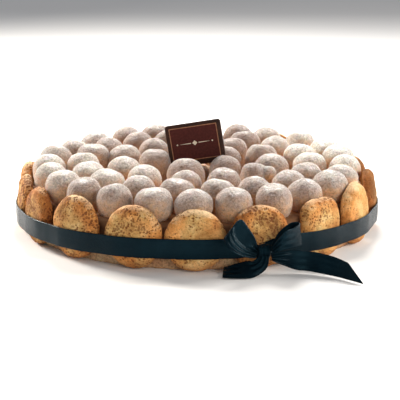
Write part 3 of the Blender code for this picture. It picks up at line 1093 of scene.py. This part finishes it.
def fold_depth(width):
    """How deep the pleats go in and out where the ribbon is drawn together to a width.
    Each pleat has two flanks, and a flank crosses twice that depth."""
    missing = max(0.0, RIBBON_WIDTH**2 - width**2)
    return math.sqrt(missing) / (2 * PLEATS) / 2


def cloth_strip(name, rows, closed):
    """A strip of cloth through rows of points, and its length in metres. Its UV map
    is in ribbon widths."""
    bm = bmesh.new()
    made = [[bm.verts.new(point) for point in row] for row in rows]
    layer = bm.loops.layers.uv.new("weave")
    length = 0.0
    count = len(made) if closed else len(made) - 1
    across = len(made[0]) - 1
    for index in range(count):
        row, following = made[index], made[(index + 1) % len(made)]
        step = (row[across // 2].co - following[across // 2].co).length / (RIBBON_WIDTH * MM)
        for k in range(across):
            face = bm.faces.new((row[k], following[k], following[k + 1], row[k + 1]))
            face.smooth = True
            corners = ((length, k), (length + step, k), (length + step, k + 1), (length, k + 1))
            for loop, (u, v) in zip(face.loops, corners):
                loop[layer].uv = (u, v / across)
        length += step
    bmesh.ops.recalc_face_normals(bm, faces=bm.faces[:])
    mesh = bpy.data.meshes.new(name)
    bm.to_mesh(mesh)
    bm.free()
    piece = bpy.data.objects.new(name, mesh)
    bpy.context.scene.collection.objects.link(piece)
    return piece, length * RIBBON_WIDTH * MM


def thicken(piece):
    """Smooth a strip and give it the thickness of cloth."""
    smooth = piece.modifiers.new("smooth", "SUBSURF")
    smooth.levels = smooth.render_levels = 1
    solid = piece.modifiers.new("cloth", "SOLIDIFY")
    solid.thickness = CLOTH_THICKNESS * MM
    solid.offset = 0.0
    set_shape(piece)


print(f"drawn to half its width, the ribbon's pleats go {fold_depth(RIBBON_WIDTH / 2):.1f} mm in and out")

# %% [markdown]
# The ribbon round the cake is a closed strip along its path. It is drawn tight over
# domed biscuits, so its edges bend in to them a little. A curve with an extrusion
# could be the ribbon too, but it would stay flat across.

# %% The ribbon round the cake
BELLY = 0.4


def band_rows():
    """Rows up the ribbon, round the cake. Its edges bend in a little to the biscuits."""
    rows = []
    for angle, radius in ribbon_path():
        low, high, pinch = ribbon_edges(angle)
        depth = fold_depth(high - low)
        row = []
        for k in range(POINTS_ACROSS):
            part = k / (POINTS_ACROSS - 1)
            belly = BELLY * (2 * part - 1) ** 2
            wave = depth * (math.sin(part * PLEATS * math.tau) - 1.0) * min(1.0, 2 * pinch)
            row.append(around((radius - belly + wave) * MM, angle, (low + (high - low) * part) * MM))
        rows.append(row)
    return rows


band, band_length = cloth_strip("satin_band", band_rows(), closed=True)
thicken(band)
add_to_cake(band, satin, "satin", "ribbon_band")
print("ribbon round the cake:", round(band_length * 1000), "mm long")

# %% [markdown]
# ## The bow
# The bow is tied in the same ribbon: two loops, two tails and a knot. Cloth simulation
# could fold it, but not into this bow, so each loop and tail is a strip through a few
# given stations. A station is the middle of the strip and the vector across it, from
# one edge to the other, in millimetres.

# %% The bow's stations
LEFT_LOOP = (
    ((43.6, -151.6, 17.2), (-1.5, -1.0, -4.4)),
    ((37.5, -152.8, 21.8), (-9.4, -5.6, -10.4)),
    ((33.0, -152.4, 28.6), (-9.4, -6.4, -10.6)),
    ((27.6, -153.4, 35.6), (-9.8, -6.2, -10.4)),
    ((23.6, -159.0, 34.2), (-8.4, -7.4, -9.4)),
    ((26.0, -163.6, 27.0), (-5.2, -10.0, -6.2)),
    ((33.4, -162.6, 20.6), (-3.0, -9.4, -4.4)),
    ((42.8, -157.0, 15.6), (-0.6, -4.0, -2.4)),
)
RIGHT_LOOP = (
    ((54.6, -150.0, 18.6), (0.5, 0.3, -4.8)),
    ((60.0, -146.2, 23.6), (2.2, 1.0, -11.4)),
    ((67.6, -142.2, 28.2), (1.5, 1.0, -14.6)),
    ((73.0, -140.6, 29.2), (1.4, 0.8, -14.8)),
    ((75.6, -143.8, 28.6), (1.6, 0.2, -14.8)),
    ((72.2, -149.4, 27.6), (2.0, 0.5, -14.6)),
    ((61.6, -156.2, 26.2), (-2.0, -0.6, -13.4)),
    ((54.6, -154.2, 18.4), (0.8, 0.0, -5.0)),
)
LEFT_TAIL = (
    ((48.8, -151.1, 14.2), (7.6, 2.2, -0.8)),
    ((46.0, -153.6, 8.2), (9.4, -0.6, -5.4)),
    ((38.4, -156.2, 5.4), (5.8, -10.0, -9.0)),
    ((29.2, -156.4, 4.1), (1.8, -13.0, -6.6)),
    ((19.1, -154.6, 2.5), (-1.2, -14.4, -3.2)),
)
RIGHT_TAIL = (
    ((54.2, -151.6, 12.6), (0.8, -0.4, -4.4)),
    ((62.2, -149.8, 11.4), (1.6, -2.0, -9.6)),
    ((71.0, -147.6, 9.6), (2.6, -2.6, -14.0)),
    ((79.6, -148.0, 9.0), (2.2, -2.8, -14.4)),
    ((88.6, -151.0, 8.5), (0.8, -3.6, -14.4)),
    ((100.6, -157.0, 7.3), (2.0, -7.0, -13.0)),
    ((113.0, -169.4, 6.5), (9.6, -14.2, -11.4)),
)
print("stations:", [len(part) for part in (LEFT_LOOP, RIGHT_LOOP, LEFT_TAIL, RIGHT_TAIL)])

# %% [markdown]
# Between the stations the strip follows a smooth curve, and so does the vector across
# it. The pleats get deeper where that vector is shorter than the ribbon is wide.

# %% Tie the bow
ROWS_PER_STATION = 7


def smooth_point(points, place):
    """A point on the smooth curve through a list of points."""
    index = min(int(place), len(points) - 2)
    part = place - index
    before, start = points[max(index - 1, 0)], points[index]
    end, after = points[index + 1], points[min(index + 2, len(points) - 1)]
    return 0.5 * (
        2.0 * start
        + (end - before) * part
        + (2.0 * before - 5.0 * start + 4.0 * end - after) * part**2
        + (3.0 * start - before - 3.0 * end + after) * part**3
    )


def bow_rows(stations):
    """Rows across the strip, along the smooth curve through the stations."""
    middles = [Vector(middle) * MM for middle, across in stations]
    crosses = [Vector(across) * MM for middle, across in stations]
    count = (len(stations) - 1) * ROWS_PER_STATION
    places = [index / ROWS_PER_STATION for index in range(count + 1)]
    path = [smooth_point(middles, place) for place in places]
    across = [smooth_point(crosses, place) for place in places]
    rows = []
    for index, point in enumerate(path):
        along = path[min(index + 1, count)] - path[max(index - 1, 0)]
        out = along.cross(across[index]).normalized()
        fold = fold_depth(across[index].length / MM) * MM
        row = []
        for k in range(POINTS_ACROSS):
            part = k / (POINTS_ACROSS - 1)
            wave = math.sin(part * PLEATS * math.tau)
            row.append(point + across[index] * (part - 0.5) + out * fold * wave)
        rows.append(row)
    return rows


def tie_in(part, stations):
    strip, length = cloth_strip(f"satin_{part}", bow_rows(stations), closed=False)
    thicken(strip)
    add_to_cake(strip, satin, "satin", f"bow_{part}")
    print(part + ":", round(length * 1000), "mm long,", triangles(strip), "triangles")


tie_in("loop_left", LEFT_LOOP)
tie_in("loop_right", RIGHT_LOOP)
tie_in("tail_left", LEFT_TAIL)
tie_in("tail_right", RIGHT_TAIL)

# %% [markdown]
# ## The knot
# The middle of the bow is a short piece of the ribbon that is wrapped round the place
# where the loops cross. A squeezed cylinder could be the knot, but it would look
# moulded. So it is a closed strip like the one round the cake, gathered into folds
# that drift a little as they go round, and narrower in its middle.

# %% Knot
KNOT_RADIUS = 156.9
KNOT_HEIGHT = 16.8
KNOT_SIZE = (9.4, 2.6, 4.4)  # its width, and half its depth and height
KNOT_WAIST = 0.12
GATHERS = 3.5
GATHER_DEPTH = 0.55
GATHER_DRIFT = 0.6  # radians
POINTS_ROUND = 28
STEPS_ACROSS = 20


def knot_rows():
    """Rows round the knot. Each row crosses the wrapped ribbon from left to right."""
    turn = Matrix.Rotation(math.radians(KNOT_ANGLE), 4, "Z")
    middle = around(KNOT_RADIUS * MM, KNOT_ANGLE, KNOT_HEIGHT * MM)
    width, deep, tall = KNOT_SIZE
    rows = []
    for index in range(POINTS_ROUND):
        angle = math.tau * index / POINTS_ROUND
        drift = GATHER_DRIFT * math.sin(angle)
        row = []
        for k in range(STEPS_ACROSS + 1):
            part = k / STEPS_ACROSS - 0.5
            gather = GATHER_DEPTH * math.sin(GATHERS * part * math.tau + drift)
            squeeze = 1.0 - KNOT_WAIST * math.cos(part * math.tau)
            point = Vector((
                part * width,
                -math.cos(angle) * (deep * squeeze + gather),
                math.sin(angle) * (tall * squeeze + gather),
            ))
            row.append(turn @ point * MM + middle)
        rows.append(row)
    return rows


knot, knot_length = cloth_strip("satin_knot", knot_rows(), closed=True)
thicken(knot)
add_to_cake(knot, satin, "satin", "bow_knot")
print("knot:", triangles(knot), "triangles")

# %% [markdown]
# ## The chocolate plaque
# A thin moulded tablet of dark chocolate stands between the puffs, dusted with a few
# grains of cocoa. It starts as a cube at its size. The corners are rounded by a bevel
# on the four edges that run through it, the front rim by a finer one.

# %% Plaque
PLAQUE_SIZE = (47.6, 3.4, 35.8)
PLAQUE_CORNER = 2.5
PLAQUE_EDGE = 0.6


def chocolate_finish():
    finish, tree, shader = new_finish("dark_chocolate", roughness=0.42, specular=0.2)
    place = object_place(tree)
    colour = ramp(
        tree,
        speckle(tree, place, grain=0.009, detail=4.0),
        (0.35, (0.022, 0.009, 0.006)),
        (0.65, (0.040, 0.016, 0.010)),
    )
    dust = ramp(tree, speckle(tree, place, grain=0.0010, roughness=0.6), (0.66, 0.0), (0.76, 0.6))
    colour = blend_colours(tree, dust, colour, (0.20, 0.11, 0.095))
    wire(tree, colour, shader.inputs["Base Color"])
    relief(tree, shader, speckle(tree, place, grain=0.006, detail=3.0), depth=0.0003, strength=0.4)
    return finish


let_go()
bpy.ops.mesh.primitive_cube_add(size=MM)
plaque = bpy.context.object
plaque.name = plaque.data.name = "moulded_plaque"
plaque.scale = PLAQUE_SIZE
bpy.ops.object.transform_apply(location=True, rotation=True, scale=True)
bpy.ops.object.mode_set(mode="EDIT")
pick(plaque, "EDGE", lambda edge: abs(edge.verts[0].co.y - edge.verts[1].co.y) > MM)
bpy.ops.mesh.bevel(offset=PLAQUE_CORNER * MM, segments=6)
pick(plaque, "EDGE", lambda edge: all(vert.co.y < 0 for vert in edge.verts))
bpy.ops.mesh.bevel(offset=PLAQUE_EDGE * MM, segments=3)
bpy.ops.object.mode_set(mode="OBJECT")
plaque.data.materials.append(chocolate_finish())
print("plain plaque:", triangles(plaque), "triangles")

# %% [markdown]
# The print on it is a transfer of coloured cocoa butter: a maroon field, a thin frame
# in pale gold and a small ornament in ivory. A texture could show it, but real edges
# stay sharp at any distance. So each part is a plane at its place, cut to its outline
# in edit mode and then extruded to a thin plate that stands a hair proud of the
# chocolate.

# %% Thin plates
PLAQUE_FRONT = -PLAQUE_SIZE[1] / 2
PRINT_SINK = 0.05
FRAME_LINE = 0.7
TAPER = 0.15


def print_finish(name, dark, light):
    finish, tree, shader = new_finish(name, roughness=0.5, specular=0.15)
    drift = speckle(tree, object_place(tree), grain=0.0015, detail=3.0)
    wire(tree, ramp(tree, drift, (0.3, dark), (0.7, light)), shader.inputs["Base Color"])
    return finish


def thin_plate(name, x, z, width, height, rise, finish, shape=None):
    """A plate on the plaque's front face. A shape function may cut its outline."""
    let_go()
    bpy.ops.mesh.primitive_plane_add(
        size=MM,
        location=(x * MM, (PLAQUE_FRONT + PRINT_SINK) * MM, z * MM),
        rotation=(math.pi / 2, 0, 0),
    )
    plate = bpy.context.object
    plate.name = plate.data.name = name
    plate.scale = (width, height, 1)
    bpy.ops.object.transform_apply(location=True, rotation=True, scale=True)
    bpy.ops.object.mode_set(mode="EDIT")
    if shape:
        shape(plate, x, z)
    bpy.ops.mesh.select_all(action="SELECT")
    out = (0, -(rise + PRINT_SINK) * MM, 0)
    bpy.ops.mesh.extrude_region_move(TRANSFORM_OT_translate={"value": out})
    bpy.ops.mesh.select_all(action="SELECT")
    bpy.ops.mesh.normals_make_consistent(inside=False)
    bpy.ops.object.mode_set(mode="OBJECT")
    plate.data.materials.append(finish)
    return plate


def only_the_rim(plate, x, z):
    """Inset the face by the line's width and delete its middle."""
    bpy.ops.mesh.select_all(action="SELECT")
    bpy.ops.mesh.inset(thickness=FRAME_LINE * MM)
    bpy.ops.mesh.delete(type="FACE")


def on_its_corner(plate, x, z):
    """Turn a square on its corner."""
    bpy.ops.mesh.select_all(action="SELECT")
    bpy.ops.transform.rotate(value=math.pi / 4, orient_axis="Y", center_override=(x * MM, 0, z * MM))


def tapered(plate, x, z):
    """Draw the end that points away from the middle nearly to a point."""
    pick(plate, "VERT", lambda vert: abs(vert.co.x) > abs(x) * MM)
    bpy.ops.transform.resize(value=(1, 1, TAPER), center_override=(x * MM, 0, z * MM))


# %% [markdown]
# The field fills the frame, and the ornament is a diamond between two tapering lines
# and two dots. Each plate is a row in one table, with its place measured along the
# plaque from the field's middle, and they are joined to the chocolate they lie on.

# %% Print on the plaque
FRAME_SIDES = (3.2, 3.5)
FRAME_TOP = 2.9
FRAME_FOOT = 4.4
PRINT_RISE = 0.12
DIAMOND = 3.0
LINE_LENGTH, LINE_WIDTH, LINE_OUT = 9.5, 0.8, 8.0
DOT, DOT_OUT = 1.1, 15.0

field_width = PLAQUE_SIZE[0] - sum(FRAME_SIDES)
field_height = PLAQUE_SIZE[2] - FRAME_TOP - FRAME_FOOT
field_x = (FRAME_SIDES[0] - FRAME_SIDES[1]) / 2
field_z = (FRAME_FOOT - FRAME_TOP) / 2
maroon = print_finish("maroon_print", (0.052, 0.011, 0.009), (0.082, 0.018, 0.015))
gold = print_finish("pale_gold_print", (0.26, 0.115, 0.062), (0.38, 0.19, 0.11))
ivory = print_finish("ivory_print", (0.62, 0.54, 0.40), (0.78, 0.72, 0.60))
# each plate's name, place along the plaque, width, height, rise, finish and shape
plates = [
    ("maroon_field", 0, field_width - FRAME_LINE, field_height - FRAME_LINE, PRINT_RISE / 2, maroon, None),
    ("gold_frame", 0, field_width, field_height, PRINT_RISE, gold, only_the_rim),
    ("ivory_diamond", 0, DIAMOND, DIAMOND, PRINT_RISE, ivory, on_its_corner),
]
for side in (-1, 1):
    plates.append(("ivory_line", side * LINE_OUT, LINE_LENGTH, LINE_WIDTH, PRINT_RISE, ivory, tapered))
    plates.append(("ivory_dot", side * DOT_OUT, DOT, DOT, PRINT_RISE, ivory, on_its_corner))
prints = [thin_plate(name, field_x + along, field_z, *rest) for name, along, *rest in plates]
take(plaque)
for plate in prints:
    plate.select_set(True)
bpy.ops.object.join()
print("plaque:", triangles(plaque), "triangles")

# %% [markdown]
# The plaque was modelled upright at the origin, where its faces are easy to pick. Now
# it is rolled, leant back, turned and lifted to its place, and that is put into its
# mesh. Its round edges are shaded smooth, and its sharp ones stay sharp.

# %% Stand the plaque
PLAQUE_MIDDLE = (-1.3, 5.5, 64.4)
PLAQUE_ROLL = 9.9
PLAQUE_BACK_LEAN = 4.0
PLAQUE_TURN = -8.0
SHARP_ANGLE = math.radians(35)

plaque.matrix_world = (
    Matrix.Translation(Vector(PLAQUE_MIDDLE) * MM)
    @ Matrix.Rotation(math.radians(PLAQUE_TURN), 4, "Z")
    @ Matrix.Rotation(math.radians(-PLAQUE_BACK_LEAN), 4, "X")
    @ Matrix.Rotation(math.radians(-PLAQUE_ROLL), 4, "Y")
)
set_shape(plaque)
bpy.ops.object.shade_smooth_by_angle(angle=SHARP_ANGLE)
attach(plaque, "root")
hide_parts("chocolate_plaque")
print("plaque top:", round(max(vert.co.z for vert in plaque.data.vertices) * 1000, 1), "mm")
